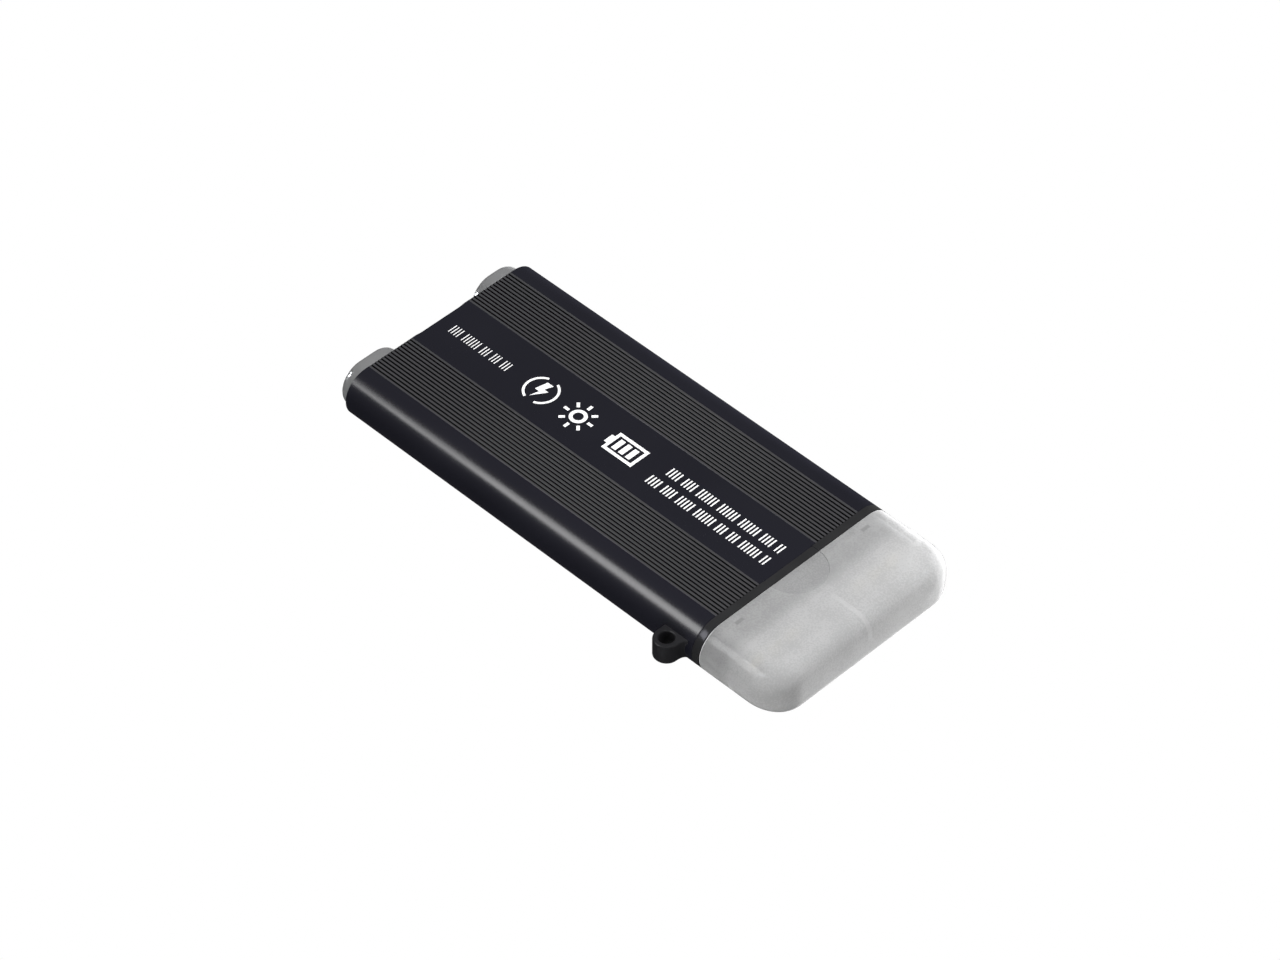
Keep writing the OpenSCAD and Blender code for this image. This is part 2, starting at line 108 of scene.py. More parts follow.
# ---------------------------------------------------------------- material helpers
class Nodes:
    """A node material under construction."""

    def __init__(self, name):
        self.material = bpy.data.materials.new(name)
        self.material.use_nodes = True
        self.tree = self.material.node_tree
        self.tree.nodes.clear()
        self.where = self.add("ShaderNodeTexCoord").outputs["Object"]

    def add(self, kind, inputs=None, **settings):
        made = self.tree.nodes.new(kind)
        for key, value in settings.items():
            setattr(made, key, value)
        for key, value in (inputs or {}).items():
            self.put(made.inputs[key], value)
        return made

    def put(self, socket, value):
        if isinstance(value, bpy.types.NodeSocket):
            self.tree.links.new(value, socket)
        else:
            socket.default_value = value

    def math(self, operation, a, b=0.0):
        return self.add("ShaderNodeMath", {0: a, 1: b}, operation=operation).outputs[0]

    def axis(self, name):
        split = self.add("ShaderNodeSeparateXYZ", {"Vector": self.where})
        return split.outputs[name]

    def noise(self, scale, detail=3.0, stretch=(1, 1, 1), rough=0.5):
        spread = self.add("ShaderNodeMapping", {"Vector": self.where, "Scale": stretch})
        texture = self.add("ShaderNodeTexNoise", {
            "Vector": spread.outputs[0], "Scale": scale, "Detail": detail, "Roughness": rough})
        return texture.outputs[0]

    def ramp(self, value, low, high, out_low=0.0, out_high=1.0):
        """value from low to high, turned smoothly into out_low to out_high."""
        mapped = self.add("ShaderNodeMapRange", {
            "Value": value, "From Min": low, "From Max": high, "To Min": out_low, "To Max": out_high},
            interpolation_type="SMOOTHSTEP")
        return mapped.outputs[0]

    def window(self, value, centre, half, soft):
        """1 where value lies within half of centre, falling to 0 over soft."""
        away = self.math("ABSOLUTE", self.math("SUBTRACT", value, centre))
        return self.ramp(away, half, half + soft, 1.0, 0.0)

    def blend(self, factor, a, b):
        mix = self.add("ShaderNodeMix", data_type="RGBA")
        self.put(mix.inputs["Factor"], factor)
        self.put(mix.inputs["A"], a)
        self.put(mix.inputs["B"], b)
        return mix.outputs["Result"]

    def bump(self, height, strength):
        return self.add("ShaderNodeBump", {
            "Height": height, "Strength": strength, "Distance": GRAIN_DEPTH}).outputs[0]

    def mix_shader(self, factor, a, b):
        return self.add("ShaderNodeMixShader", {0: factor, 1: a, 2: b}).outputs[0]

    def principled(self, **inputs):
        named = {key.replace("_", " "): value for key, value in inputs.items()}
        return self.add("ShaderNodeBsdfPrincipled", named).outputs[0]

    def finish(self, shader):
        out = self.add("ShaderNodeOutputMaterial")
        self.tree.links.new(shader, out.inputs["Surface"])
        return self.material


def darker(colour, share):
    """The colour with its red, green and blue cut to a share of what they are."""
    return tuple(c * share for c in colour[:3]) + (1.0,)


def moulded(name, colour, roughness, tint=(1, 1, 1, 1)):
    """Moulded plastic: a fine grain, small changes of tone, and a soft shine."""
    n = Nodes(name)
    speck = n.noise(9000, 2)
    cloud = n.noise(260, 3)
    return n.finish(n.principled(
        Base_Color=n.blend(n.ramp(cloud, 0.3, 0.7), darker(colour, 0.82), colour),
        Specular_Tint=tint,
        Roughness=n.ramp(cloud, 0.3, 0.7, roughness - 0.04, roughness + 0.05),
        Normal=n.bump(speck, 0.12)))


def metal(name, colour, roughness):
    """Bare sheet metal with a faint brushed grain along X."""
    n = Nodes(name)
    grain = n.noise(900, 3, (1, 60, 60))
    return n.finish(n.principled(
        Base_Color=n.blend(grain, darker(colour, 0.85), colour),
        Metallic=1.0,
        Roughness=n.ramp(grain, 0.3, 0.7, roughness - 0.06, roughness + 0.08),
        Normal=n.bump(grain, 0.15)))


# ---------------------------------------------------------------- materials
def anodised_material():
    """Black anodised extrusion: bead-blasted faces, with a painted highlight on the rib tops and painted
    shade, without shine, in the grooves.
    """
    n = Nodes("anodised_aluminium")
    across = n.math("ABSOLUTE", n.axis("Y"))
    in_band = n.math(
        "MULTIPLY",
        n.math("GREATER_THAN", across, RIB_START - RIB_HALF - NOTCH / 2),
        n.math("LESS_THAN", across, RIB_END + RIB_HALF + NOTCH / 2))
    from_mid = n.math("ABSOLUTE", n.math("SUBTRACT", n.axis("Z"), MID_Z))
    on_top = n.math("GREATER_THAN", from_mid, MID_Z - RIB_EDGE_R)
    in_groove = n.math("LESS_THAN", from_mid, MID_Z - RIB_EDGE_R)
    rib_top_painted_highlight = n.math("MULTIPLY", in_band, on_top)
    groove_painted_shade = n.math("MULTIPLY", in_band, in_groove)
    cloud = n.noise(45, 4)
    blast = n.noise(14000, 2)
    draw = n.noise(500, 3, (0.02, 1, 1))
    face = n.blend(n.ramp(cloud, 0.35, 0.65), (0.009, 0.009, 0.0145, 1), (0.0105, 0.0105, 0.0165, 1))
    # painted highlight: the rib tops are painted paler than the face
    ribbed = n.blend(rib_top_painted_highlight, face, (0.052, 0.052, 0.056, 1))
    # painted shade: the grooves are painted near black
    colour = n.blend(groove_painted_shade, ribbed, (0.001, 0.001, 0.0012, 1))
    roughness = n.ramp(cloud, 0.35, 0.65, 0.22, 0.25)
    relief = n.math("ADD", n.math("MULTIPLY", blast, 0.6), n.math("MULTIPLY", draw, 0.4))
    return n.finish(n.principled(
        Base_Color=colour,
        Roughness=n.math("ADD", roughness, n.math("MULTIPLY", draw, 0.02)),
        # the grooves' painted shade also takes away their shine
        Specular_IOR_Level=n.math("SUBTRACT", 1.0, groove_painted_shade),
        Normal=n.bump(relief, 0.018)))


def frosted_masks(n):
    """Where things are on the cap, each as a mask from 0 to 1."""
    x, y, z = n.axis("X"), n.axis("Y"), n.axis("Z")
    across = n.math("ABSOLUTE", y)
    above = n.math("SUBTRACT", z, MID_Z)
    from_collar = n.math("SUBTRACT", x, COLLAR_X)
    square = n.math("ADD", n.math("MULTIPLY", from_collar, from_collar), n.math("MULTIPLY", y, y))
    in_floor = n.math("GREATER_THAN", z, THICK - RECESS_D - 0.02 * MM)
    thumb = n.math("MULTIPLY", n.math("LESS_THAN", n.math("SQRT", square), RECESS_HALF), in_floor)
    rib_line = n.math(
        "MULTIPLY",
        n.window(y, 0.0, 0.3 * MM, 0.2 * MM),
        n.ramp(x, SPIGOT_X + 0.6 * MM, SPIGOT_X + 2.2 * MM))
    by_mouth = n.math("LESS_THAN", x, CAP_X + 0.2 * MM)
    # the angle round the side's axis, so that the rim's painted highlight fades out towards the top face
    tilt = n.math("ARCTAN2", above, n.math("SUBTRACT", across, SIDE_C))
    return {
        "thumb": thumb,
        "past_spigot": n.ramp(x, SPIGOT_X - 2.6 * MM, SPIGOT_X + 0.4 * MM),
        "side": n.ramp(z, THICK - 2.4 * MM, THICK - 0.5 * MM, 1.0, 0.0),
        "rib": n.math("MULTIPLY", rib_line, n.ramp(z, MID_Z - 0.5 * MM, MID_Z + 2 * MM)),
        "bump": n.math(
            "MULTIPLY",
            n.window(x, BUMP_X, 0.15 * MM, 0.35 * MM),
            n.window(across, BUMP_Y, 0.65 * MM, 0.3 * MM)),
        "rim": n.math("MULTIPLY", by_mouth, n.ramp(tilt, 0.9, 1.5, 1.0, 0.0)),
        "spigot_edge": n.window(x, SPIGOT_X + 0.2 * MM, 0.45 * MM, 0.15 * MM),
    }


def frosted_material():
    """Milky plastic that lets part of the light straight through, so dark pieces behind it show faintly.

    It is clearest where it is thinnest, in the thumb recess, and milkiest past the spigot's end. Its colour
    also holds painted highlights along the inner rib's line and down the mouth's rim, and painted shade
    over the snap bumps.
    """
    clear_over_spigot, clear_lost_past_it = 0.612, 0.186
    clear_in_thumb, clear_on_side = 0.06, 0.04
    rib_line_painted_highlight, bump_painted_shade, rim_highlight_opacity = 0.4, 0.75, 0.7
    least_straightness = 0.08
    scatter_through = 0.35
    inner_shine, edge_dullness = 0.3, 0.8
    n = Nodes("frosted_plastic")
    at = frosted_masks(n)
    outer = n.add("ShaderNodeAttribute", attribute_name="outer").outputs["Fac"]
    cloud = n.noise(220, 4)
    grain = n.noise(3600, 3)
    mottle = n.math("ADD", n.math("MULTIPLY", cloud, 0.35), n.math("MULTIPLY", grain, 0.65))
    milk = n.blend(n.ramp(mottle, 0.42, 0.58), (0.66, 0.66, 0.662, 1), (0.76, 0.76, 0.762, 1))
    # painted highlight: the milk is painted paler along the inner rib's line
    milk = n.blend(n.math("MULTIPLY", at["rib"], rib_line_painted_highlight), milk, (0.93, 0.93, 0.93, 1))
    # painted shade: the milk is painted darker over the snap bumps behind the wall
    milk = n.blend(n.math("MULTIPLY", at["bump"], bump_painted_shade), milk, (0.42, 0.42, 0.42, 1))
    # painted highlight: the mouth's rim is painted paler, up to white, down the round sides, and made less
    # clear there
    pale = n.math("MULTIPLY", at["rim"], outer)
    milk = n.blend(pale, milk, (1, 1, 1, 1))
    clear = n.math("ADD", n.math("MULTIPLY", at["past_spigot"], -clear_lost_past_it), clear_over_spigot)
    clear = n.math("ADD", clear, n.math("MULTIPLY", at["thumb"], clear_in_thumb))
    clear = n.math("ADD", clear, n.math("MULTIPLY", at["side"], clear_on_side))
    clear = n.math("MULTIPLY", clear, n.math("SUBTRACT", 1.0, n.math("MULTIPLY", pale, rim_highlight_opacity)))
    # a slanting look goes through more of the milky wall
    slant = n.add("ShaderNodeLayerWeight", {"Blend": 0.5}).outputs["Facing"]
    straightness = n.math("MAXIMUM", n.math("SUBTRACT", 1.0, slant), least_straightness)
    clear = n.math("POWER", clear, n.math("DIVIDE", 1.0, straightness))
    white = n.principled(Base_Color=milk, Roughness=0.9, Specular_IOR_Level=0.0,
                         Sheen_Weight=0.8, Sheen_Roughness=0.3)
    through = n.add("ShaderNodeBsdfTranslucent", {"Color": milk}).outputs[0]
    scatter = n.mix_shader(scatter_through, white, through)
    straight = n.add("ShaderNodeBsdfTransparent", {"Color": (0.96, 0.965, 0.97, 1)}).outputs[0]
    body = n.mix_shader(clear, scatter, straight)
    gloss = n.add("ShaderNodeBsdfGlossy", {
        "Color": (1, 1, 1, 1), "Roughness": n.ramp(cloud, 0.3, 0.7, 0.02, 0.05)}).outputs[0]
    glance = n.add("ShaderNodeFresnel", {"IOR": 1.45}).outputs[0]
    shine = n.math("MULTIPLY", glance, n.ramp(glance, 0.04, 0.3, 0.54, 0.8))
    shine = n.math("MULTIPLY", shine, n.math(
        "ADD", n.math("MULTIPLY", outer, 1 - inner_shine), inner_shine))
    shine = n.math("MULTIPLY", shine, n.math(
        "SUBTRACT", 1.0, n.math("MULTIPLY", at["spigot_edge"], edge_dullness)))
    return n.finish(n.mix_shader(shine, body, gloss))


def lens_material():
    """Clear moulded plastic, a little smoky and dull down its sides, clear in front of the LED."""
    n = Nodes("smoky_lens")
    cloud = n.noise(700, 3)
    x = n.axis("X")
    past_front = n.ramp(x, LENS_LO.x + 0.3 * MM, LENS_LO.x + 0.8 * MM)
    side = n.math("MULTIPLY", past_front, n.math("LESS_THAN", x, END_X))
    glass = n.principled(
        Base_Color=n.blend(side, (0.95, 0.96, 0.97, 1), (0.62, 0.64, 0.66, 1)),
        Roughness=n.math("ADD", n.math("MULTIPLY", side, n.ramp(cloud, 0.3, 0.7, 0.08, 0.16)), 0.02),
        Transmission_Weight=n.ramp(side, 0.0, 1.0, 1.0, 0.85), IOR=1.49)
    haze = n.add("ShaderNodeBsdfDiffuse", {"Color": (0.27, 0.27, 0.272, 1)}).outputs[0]
    dull = n.ramp(side, 0.0, 1.0, 0.05, 0.5)
    return n.finish(n.mix_shader(dull, glass, haze))


def clear_material():
    n = Nodes("clear_plastic")
    return n.finish(n.principled(
        Base_Color=(0.9, 0.93, 0.95, 1), Roughness=n.ramp(n.noise(900), 0.3, 0.7, 0.08, 0.16),
        Transmission_Weight=0.8, IOR=1.49))


def print_material():
    """White ink, just uneven enough to read as printed, with a faint painted glow that makes it read
    brighter.
    """
    n = Nodes("white_ink")
    cloud = n.noise(5000, 3)
    return n.finish(n.principled(
        Base_Color=n.blend(n.ramp(cloud, 0.25, 0.6), (0.86, 0.86, 0.86, 1), (1, 1, 1, 1)),
        # painted light: a faint glow, though the ink is no lamp
        Roughness=0.55, Emission_Color=(1, 1, 1, 1), Emission_Strength=0.12,
        Normal=n.bump(cloud, 0.1)))


def board_material(name, mask, trace):
    """Solder mask over fine copper runs, with tinned pads."""
    n = Nodes(name)
    bricks = n.add("ShaderNodeTexBrick", {
        "Vector": n.where, "Color1": (0, 0, 0, 1), "Color2": (0, 0, 0, 1), "Mortar": (1, 1, 1, 1),
        "Scale": 700.0, "Mortar Size": 0.05, "Brick Width": 0.9, "Row Height": 0.35})
    dots = n.add("ShaderNodeTexVoronoi", {"Vector": n.where, "Scale": 700.0}).outputs["Distance"]
    runs = n.blend(n.math("MULTIPLY", bricks.outputs["Fac"], 0.7), mask, trace)
    pads = n.math("LESS_THAN", dots, 0.12)
    return n.finish(n.principled(
        Base_Color=n.blend(pads, runs, (0.62, 0.6, 0.5, 1)),
        Metallic=n.math("MULTIPLY", pads, 0.9), Roughness=0.34,
        Normal=n.bump(bricks.outputs["Fac"], 0.2)))


def foil_material():
    """Embossed silver laminate of the pouch."""
    n = Nodes("pouch_foil")
    crinkle = n.noise(420, 5, rough=0.6)
    emboss = n.add("ShaderNodeTexWave", {
        "Vector": n.where, "Scale": 900.0, "Distortion": 2.0}).outputs["Fac"]
    relief = n.math("ADD", n.math("MULTIPLY", crinkle, 0.8), n.math("MULTIPLY", emboss, 0.2))
    return n.finish(n.principled(
        Base_Color=(0.62, 0.63, 0.65, 1), Metallic=0.85,
        Roughness=n.ramp(crinkle, 0.3, 0.7, 0.28, 0.45),
        Normal=n.bump(relief, 0.5)))


def foam_material():
    n = Nodes("open_foam")
    cells = n.add("ShaderNodeTexVoronoi", {"Vector": n.where, "Scale": 2600.0}).outputs["Distance"]
    return n.finish(n.principled(
        Base_Color=n.blend(cells, (0.02, 0.02, 0.022, 1), (0.075, 0.075, 0.08, 1)),
        Roughness=0.95, Normal=n.bump(cells, 0.9)))


def tape_material():
    n = Nodes("amber_film")
    cloud = n.noise(500, 3)
    return n.finish(n.principled(
        Base_Color=n.blend(cloud, (0.5, 0.24, 0.02, 1), (0.75, 0.42, 0.05, 1)),
        Roughness=0.22, Coat_Weight=0.5, Normal=n.bump(cloud, 0.3)))


def phosphor_material():
    """Yellow phosphor of a white LED, in a pale frame."""
    n = Nodes("led_phosphor")
    cloud = n.noise(3000, 2)
    return n.finish(n.principled(
        Base_Color=n.blend(n.ramp(cloud, 0.3, 0.7), (0.82, 0.62, 0.14, 1), (0.9, 0.74, 0.26, 1)),
        Roughness=0.35, Coat_Weight=0.4))


def wire_material(name, colour):
    n = Nodes(name)
    cloud = n.noise(900, 2)
    return n.finish(n.principled(
        Base_Color=n.blend(cloud, darker(colour, 0.8), colour), Roughness=0.4))


# ---------------------------------------------------------------- mesh helpers
def stadium(half_w, half_h, steps=28):
    """Outline of a slot shape round the middle."""
    c = half_w - half_h
    points = []
    for side in (1, -1):
        for i in range(steps + 1):
            a = math.pi * (i / steps - 0.5)
            points.append((side * (c + half_h * math.cos(a)), side * half_h * math.sin(a)))
    return points


def shrink(outline, amount):
    """The outline moved inwards by amount, along the normal at each point."""
    moved = []
    for i, here in enumerate(outline):
        before, after = outline[i - 1], outline[(i + 1) % len(outline)]
        a = Vector(here) - Vector(before)
        b = Vector(after) - Vector(here)
        a = a.normalized() if a.length > 1e-9 else b.normalized()
        b = b.normalized() if b.length > 1e-9 else a
        both = Vector((-a.y - b.y, a.x + b.x))
        reach = amount * 2 / max(both.dot(both), 1.2)
        moved.append((here[0] + both.x * reach, here[1] + both.y * reach))
    return moved


def ring(bm, outline, x, shift_y=0.0):
    return [bm.verts.new((x, shift_y + y, MID_Z + z)) for y, z in outline]


def bridge(bm, a, b):
    for i in range(len(a)):
        j = (i + 1) % len(a)
        bm.faces.new((a[i], a[j], b[j], b[i]))


def loft(bm, rings):
    """A closed solid through the rings, with flat ends."""
    for a, b in zip(rings, rings[1:]):
        bridge(bm, a, b)
    bm.faces.new(rings[0])
    bm.faces.new(rings[-1])


def edge_round(radius, steps=4):
    """(how far in from the end, how far the section shrinks) along a rounded end edge."""
    if not radius:
        return [(0.0, 0.0)]
    angles = [math.pi / 2 * i / steps for i in range(steps + 1)]
    return [(radius * (1 - math.sin(a)), radius * (1 - math.cos(a))) for a in reversed(angles)]


def bar(outline, x0, x1, r0=0.0, r1=0.0, shift_y=0.0):
    """A bmesh bar along X with its end edges rounded by r0 and r1."""
    bm = bmesh.new()
    head = [(x0 + d, s) for d, s in edge_round(r0)]
    tail = [(x1 - d, s) for d, s in edge_round(r1)]
    stations = sorted(head) + sorted(tail)
    loft(bm, [ring(bm, shrink(outline, s), x, shift_y) for x, s in stations])
    return bm


def block(low, high):
    bm = bmesh.new()
    bmesh.ops.create_cube(bm, size=1)
    for v in bm.verts:
        v.co = Vector(low[k] + (v.co[k] + 0.5) * (high[k] - low[k]) for k in range(3))
    return bm


def turned(profile, centre, steps=72):
    """A closed solid turned about a vertical axis. profile is (radius, z) from axis to axis."""
    bm = bmesh.new()
    rows = []
    for r, z in profile:
        if r < 1e-7:
            rows.append([bm.verts.new((centre[0], centre[1], z))])
            continue
        rows.append([
            bm.verts.new((centre[0] + r * math.cos(2 * math.pi * i / steps),
                          centre[1] + r * math.sin(2 * math.pi * i / steps), z))
            for i in range(steps)])
    for a, b in zip(rows, rows[1:]):
        for i in range(steps):
            j = (i + 1) % steps
            corners = [a[i % len(a)], a[j % len(a)], b[j % len(b)], b[i % len(b)]]
            bm.faces.new(dict.fromkeys(corners))
    return bm


def prism(bm, outline, z0, z1):
    """A flat upright solid from an outline of (x, y)."""
    low = [bm.verts.new((x, y, z0)) for x, y in outline]
    high = [bm.verts.new((x, y, z1)) for x, y in outline]
    bridge(bm, low, high)
    bm.faces.new(low)
    bm.faces.new(high)


def to_object(name, bm):
    bmesh.ops.recalc_face_normals(bm, faces=bm.faces)
    mesh = bpy.data.meshes.new(name)
    bm.to_mesh(mesh)
    bm.free()
    obj = bpy.data.objects.new(name, mesh)
    bpy.context.scene.collection.objects.link(obj)
    return obj


def carve(obj, tools):
    """Applies (operation, bmesh) booleans to obj, in order."""
    for operation, bm in tools:
        tool = to_object("tool", bm)
        step = obj.modifiers.new("step", "BOOLEAN")
        step.operation = operation
        step.solver = "EXACT"
        step.object = tool
        shaped = bpy.data.meshes.new_from_object(obj.evaluated_get(bpy.context.evaluated_depsgraph_get()))
        obj.modifiers.clear()
        obj.data = shaped
        bpy.data.objects.remove(tool)
    return obj


def settle(obj, material, body, node=None, angle=32):
    """Gives a finished mesh its material and shading, and fixes it to a body."""
    mesh = obj.data
    mesh.materials.clear()
    mesh.materials.append(material)
    mesh.polygons.foreach_set("use_smooth", [True] * len(mesh.polygons))
    mesh.set_sharp_from_angle(angle=math.radians(angle))
    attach(obj, body)
    if node:
        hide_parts(node)
    return obj


# ---------------------------------------------------------------- sleeve
def ribbed_face(recessed):
    """(y, depth below the face) along one face, from its +Y end to its -Y end."""
    half = []
    for i in reversed(range(RIB_COUNT)):
        y = RIB_START + i * RIB_PITCH
        corner = [(RIB_EDGE_R * (1 - math.cos(a)), RIB_EDGE_R * (1 - math.sin(a)))
                  for a in (math.pi / 8 * k for k in range(5))]
        if i < RIB_COUNT - 1:
            half.append((y + RIB_HALF, RIB_DEPTH))
        half += [(y + RIB_HALF - inset, depth) for inset, depth in corner]
        half += [(y - RIB_HALF + inset, depth) for inset, depth in reversed(corner)]
        if i > 0:
            half.append((y - RIB_HALF, RIB_DEPTH))
    outer_y = RIB_END + RIB_HALF + NOTCH
    inner_y = RIB_START - RIB_HALF - NOTCH
    half = [(outer_y, 0.0)] + half + [(inner_y, 0.0)]
    if recessed:
        half += [(RECESS_HALF, 0.0), (RECESS_HALF - 2 * RECESS_D, RECESS_D)]
    return half + [(-y, d) for y, d in reversed(half)]


def sleeve_outlines():
    """The outer section with its ribs, the same eased inwards for the end edges, and the bore's section."""
    bore_r = MID_Z - SLEEVE_WALL
    outer, eased, inner = [], [], []
    for side in (1, -1):
        for i in range(41):
            a = math.pi * (i / 40 - 0.5)
            for outline, r in ((outer, MID_Z), (eased, MID_Z - END_EASE), (inner, bore_r)):
                outline.append((side * (SIDE_C + r * math.cos(a)), side * r * math.sin(a)))
        face = ribbed_face(recessed=side > 0)
        for k, (y, depth) in enumerate(face, 1):
            outer.append((side * y, side * (MID_Z - depth)))
            eased.append((side * y, side * (MID_Z - depth - END_EASE)))
            inner.append((side * SIDE_C * (1 - 2 * k / (len(face) + 1)), side * bore_r))
    return outer, eased, inner


def hole_tool(radius, centre, steps):
    """Cuts a round hole up through the underside's wall, with a softened edge."""
    soft, past, top = 0.12 * MM, 0.05 * MM, 1.5 * MM
    wide = radius + soft + past
    profile = [(0, -MM), (wide, -MM), (wide, -past), (radius, soft), (radius, top), (0, top)]
    return turned(profile, centre, steps)


def make_sleeve(material):
    outer, eased, inner = sleeve_outlines()
    bm = bmesh.new()
    outside = [ring(bm, outline, x) for x, outline in (
        (END_X, eased), (END_X + END_EASE, outer), (SEAM_X - END_EASE, outer), (SEAM_X, eased))]
    inside = [ring(bm, inner, x) for x in (END_X, SEAM_X)]
    for a, b in zip(outside, outside[1:]):
        bridge(bm, a, b)
    bridge(bm, *inside)
    bridge(bm, outside[0], inside[0])
    bridge(bm, outside[-1], inside[-1])
    button = ((BUTTON_LO.x + BUTTON_HI.x) / 2, 0.0)
    pipe = ((PIPE_LO.x + PIPE_HI.x) / 2, (PIPE_LO.y + PIPE_HI.y) / 2)
    inset = LUG_FOOT_REACH - FIT
    slot_low = (LUG_LO.x + inset, -HALF_W - MM, MID_Z - LUG_HALF_H)
    slot_high = (LUG_HI.x - inset, -SIDE_C, MID_Z + LUG_HALF_H)
    tools = [
        ("DIFFERENCE", block(slot_low, slot_high)),
        ("DIFFERENCE", hole_tool(BUTTON_HOLE_R, button, 72)),
        ("DIFFERENCE", hole_tool(PIPE_HOLE_R, pipe, 40)),
    ]
    obj = carve(to_object("sleeve_extrusion", bm), tools)
    return settle(obj, material, "housing", "sleeve")


# ---------------------------------------------------------------- collar and spigot
def make_collar(material):
    """The ring, its plug in the sleeve and its spigot with four snap bumps, hollow all through."""
    spigot_half_w = HALF_W - CAP_WALL - CAP_GAP
    spigot_half_h = MID_Z - CAP_WALL - CAP_GAP
    notch_half_h = LUG_FOOT_HALF_H + FIT
    plug = bar(stadium(HALF_W - SLEEVE_WALL - FIT, MID_Z - SLEEVE_WALL - FIT),
               PLUG_X, SEAM_X + FIT, 0.25 * MM)
    ring_bar = bar(stadium(HALF_W, MID_Z, 40), SEAM_X, COLLAR_X, 0.06 * MM, 0.12 * MM)
    spigot = bar(stadium(spigot_half_w, spigot_half_h), COLLAR_X - FIT, SPIGOT_X, 0, 0.3 * MM)
    tools = [("UNION", ring_bar), ("UNION", spigot)]
    for face in (-1, 1):
        for side in (-1, 1):
            tools.append(("UNION", snap_bump(BUMP_X, side * BUMP_Y, face * spigot_half_h)))
    hollow = stadium(spigot_half_w - SPIGOT_WALL, spigot_half_h - SPIGOT_WALL)
    thumb_flat = block((SEAM_X - FIT, -RECESS_HALF, THICK - RECESS_D),
                       (COLLAR_X + FIT, RECESS_HALF, THICK + MM))
    lug_notch = block((PLUG_X - MM, -HALF_W, MID_Z - notch_half_h),
                      (SEAM_X - 0.3 * MM, -SIDE_C, MID_Z + notch_half_h))
    tools += [
        ("DIFFERENCE", bar(hollow, PLUG_X - MM, SPIGOT_X + MM)),
        ("DIFFERENCE", thumb_flat),
        ("DIFFERENCE", lug_notch),
    ]
    return settle(carve(to_object("collar_moulding", plug), tools),
                  material, "housing", "collar")


def snap_bump(x, y, z):
    """A small rounded ridge across the spigot, half sunk in its face."""
    r, half_l, tip, steps = 0.45 * MM, 0.95 * MM, 0.15 * MM, 20
    # (share of the radius, share of the tip's length) from the tip inwards
    taper = ((0.5, 0.93), (0.85, 0.6), (1, 0.0))
    bm = bmesh.new()
    rows = []
    for end, stations in ((-1, taper), (1, taper[::-1])):
        for scale, out in stations:
            rows.append([bm.verts.new((
                x + r * scale * math.cos(2 * math.pi * i / steps),
                y + end * (half_l - tip + tip * out),
                MID_Z + z + r * scale * math.sin(2 * math.pi * i / steps))) for i in range(steps)])
    loft(bm, rows)
    return bm


# ---------------------------------------------------------------- cap
def cap_grid(inset, x_mouth):
    """Rows of points down the cap's rim, one row for each place along its plan outline.

    Each row runs from just inside the edge of the top face, over the rim, to the bottom face. The sides
    are full half rounds, as on the sleeve, and they turn into the end's smaller edge round the corners.
    """
    half_w = HALF_W - inset
    side_r = MID_Z - inset
    corner = CAP_CORNER_R - inset
    edge = CAP_EDGE_R - inset
    x_end = CAP_END_X - inset
    corner_x, corner_y = x_end - corner, half_w - corner
    flat_margin = 0.4 * MM
    wall_angle = math.radians(15)
    side_steps, corner_steps, end_steps, rim_steps = 7, 16, 6, 32
    # (x, y, angle of the outward direction from +Y towards +X) along half of the plan outline
    places = [(x_mouth, half_w, 0.0)]
    for k in range(1, side_steps):
        places.append((x_mouth + (corner_x - x_mouth) * k / side_steps, half_w, 0.0))
    for k in range(corner_steps + 1):
        turn = math.pi / 2 * k / corner_steps
        places.append((corner_x + corner * math.sin(turn), corner_y + corner * math.cos(turn), turn))
    for k in range(1, end_steps):
        places.append((x_end, corner_y * (1 - k / end_steps), math.pi / 2))
    mirrored = [(x, -y, math.pi - turn) for x, y, turn in reversed(places)]
    places.append((x_end, 0.0, math.pi / 2))
    places += mirrored
    rows = []
    for x, y, turn in places:
        out = Vector((math.sin(turn), math.cos(turn)))
        r = side_r + (edge - side_r) * math.sin(turn) ** 2
        row = []
        for k in range(-1, rim_steps + 2):
            angle = math.pi / 2 * (1 - 2 * max(0, min(k, rim_steps)) / rim_steps)
            back = r * (1 - math.cos(angle)) + (flat_margin if k in (-1, rim_steps + 1) else 0)
            flat = (side_r - r) * max(-1.0, min(1.0, angle / wall_angle))
            row.append((x - out.x * back, y - out.y * back, MID_Z + flat + r * math.sin(angle)))
        rows.append(row)
    return rows


def cap_shell(bm, inset, x_mouth, lip):
    """One closed surface of the cap but for its mouth. Returns the mouth's ring of vertices."""
    grid = [[bm.verts.new(p) for p in row] for row in cap_grid(inset, x_mouth + lip)]
    for a, b in zip(grid, grid[1:]):
        for k in range(len(a) - 1):
            bm.faces.new((a[k], a[k + 1], b[k + 1], b[k]))
    bm.faces.new([row[0] for row in grid])
    bm.faces.new([row[-1] for row in grid])
    base = grid[0] + grid[-1][::-1]
    mouth = base
    for d, s in edge_round(lip)[::-1][1:]:
        made = []
        for v in base:
            axis = Vector((v.co.x, max(-SIDE_C, min(SIDE_C, v.co.y)), MID_Z))
            out = (v.co - axis).normalized()
            made.append(bm.verts.new((x_mouth + d, v.co.y - out.y * s, v.co.z - out.z * s)))
        bridge(bm, mouth, made)
        mouth = made
    return mouth


